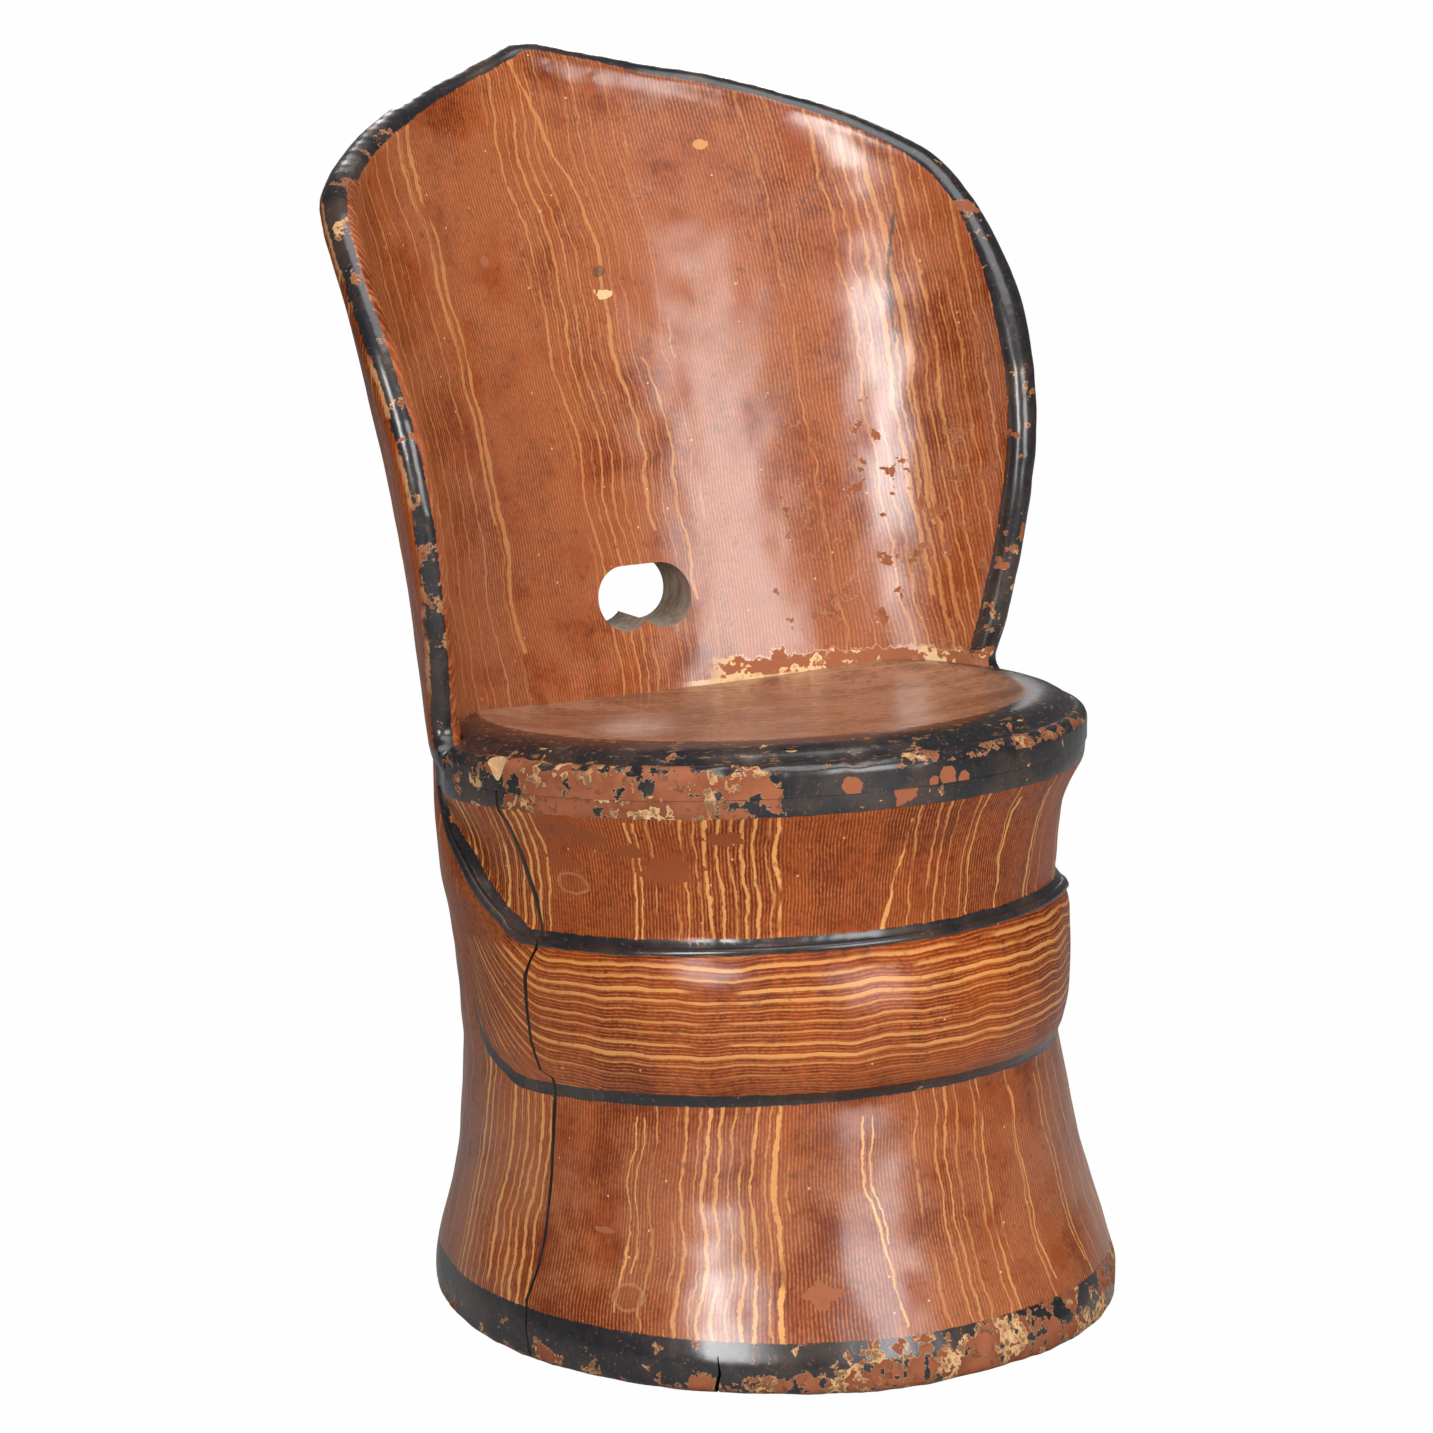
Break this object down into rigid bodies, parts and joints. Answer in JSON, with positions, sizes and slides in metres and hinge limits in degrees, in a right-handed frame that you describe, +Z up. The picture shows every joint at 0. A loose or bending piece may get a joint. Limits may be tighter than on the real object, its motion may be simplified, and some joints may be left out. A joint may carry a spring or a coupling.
{
  "type": "tree trunk chair",
  "caption": "Log chair carved from a hollowed trunk: flared foot, raised girdle, let-in dished seat with a thick rim, curved leaning back with wings and a hand hole.",
  "frame": {"origin": "on the floor, under the middle of the whole chair", "axes": "+Z up, -Y the way the sitter faces, +X to the sitter's left"},
  "size_m": [0.5252, 0.5667, 0.8417],
  "materials": {
    "painted_log": "red-brown painted wood graining with blue-black borders under a worn satin varnish",
    "seat_paint": "dull brown paint worn by use, with a chipped blue-black border",
    "peg_wood": "bare pine, painted over on top"
  },
  "bodies": {
    "root": {"trunk": "painted_log", "seat_board": "seat_paint", "seat_peg_1": "peg_wood", "seat_peg_2": "peg_wood", "seat_peg_3": "peg_wood", "seat_peg_4": "peg_wood", "seat_peg_5": "peg_wood", "seat_peg_6": "peg_wood"}
  },
  "joints": []
}
